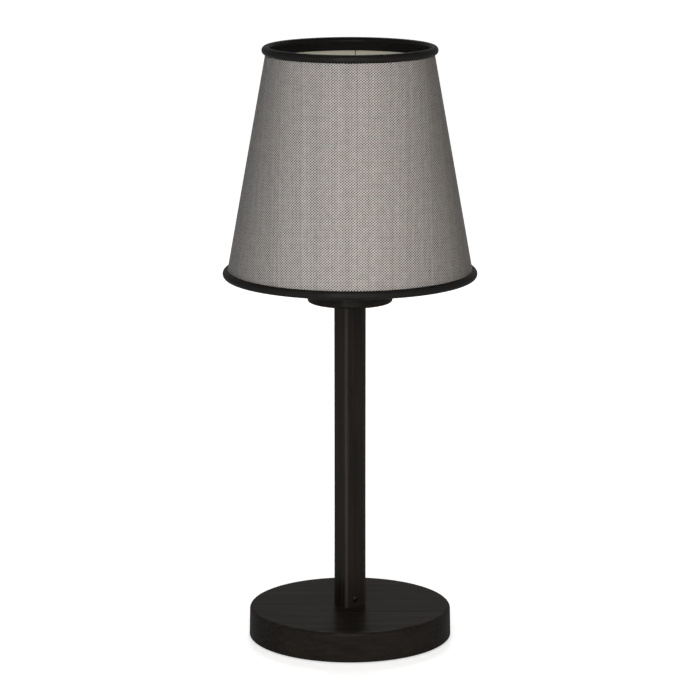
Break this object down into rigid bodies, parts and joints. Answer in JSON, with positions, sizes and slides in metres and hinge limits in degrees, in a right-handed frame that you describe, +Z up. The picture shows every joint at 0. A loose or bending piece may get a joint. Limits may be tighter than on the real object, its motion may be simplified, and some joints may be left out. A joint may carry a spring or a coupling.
{
  "type": "table lamp",
  "caption": "Table lamp with a round wooden base, an angled square post and a tapered woven shade bound in black at both edges.",
  "frame": {"origin": "centre of the underside of the felt ring, on the surface that the lamp stands on", "axes": "+Z up along the lamp's axis, -Y to the front, the lead's outlet at +Y"},
  "size_m": [0.1672, 0.1672, 0.3962],
  "materials": {
    "dark_wood": "black-brown stained wood under satin lacquer",
    "felt": "black felt",
    "black_plastic": "moulded black plastic",
    "zinc_steel": "zinc-plated steel",
    "brass": "plain brass",
    "ceramic": "pale insulating ceramic",
    "white_wire": "white powder-coated wire",
    "grey_fabric": "grey and black plain weave",
    "cream_lining": "cream lampshade film",
    "black_binding": "black bound edge",
    "opal_plastic": "opal diffuser",
    "white_plastic": "white moulded plastic"
  },
  "bodies": {
    "stand": {"base_disc": "dark_wood", "felt_pad": "felt", "lead_grommet": "black_plastic", "base_washer": "zinc_steel", "base_nut": "zinc_steel", "tie_tube": "zinc_steel", "post": "dark_wood", "post_lock_screw": "zinc_steel", "top_disc": "dark_wood", "lock_washer": "zinc_steel", "holder_cap": "black_plastic", "holder_insert": "ceramic", "centre_contact": "brass", "side_contact": "brass", "terminal_screw_left": "brass", "terminal_screw_right": "brass", "holder_shell": "black_plastic"},
    "collar": {"shade_collar": "black_plastic"},
    "shade": {"shade_carrier": "white_wire", "lower_wire": "white_wire", "upper_wire": "white_wire", "shade_lining": "cream_lining", "shade_fabric": "grey_fabric", "upper_binding": "black_binding", "lower_binding": "black_binding"},
    "bulb": {"bulb_contact": "zinc_steel", "bulb_insulator": "black_plastic", "bulb_screw_cap": "zinc_steel", "bulb_housing": "white_plastic", "bulb_diffuser": "opal_plastic"}
  },
  "joints": [
    {"name": "shade_swivel", "type": "hinge", "parent": "stand", "child": "shade", "pos_m": [0, 0, 0.2696], "axis": [0, 0, 1], "continuous": true},
    {"name": "collar_turn", "type": "hinge", "parent": "stand", "child": "collar", "pos_m": [0, 0, 0.2746], "axis": [0, 0, 1], "range_deg": [0, 360]},
    {"name": "bulb_lift", "type": "slide", "parent": "stand", "child": "bulb", "axis": [0, 0, 1], "range_m": [0, 0.14]}
  ]
}
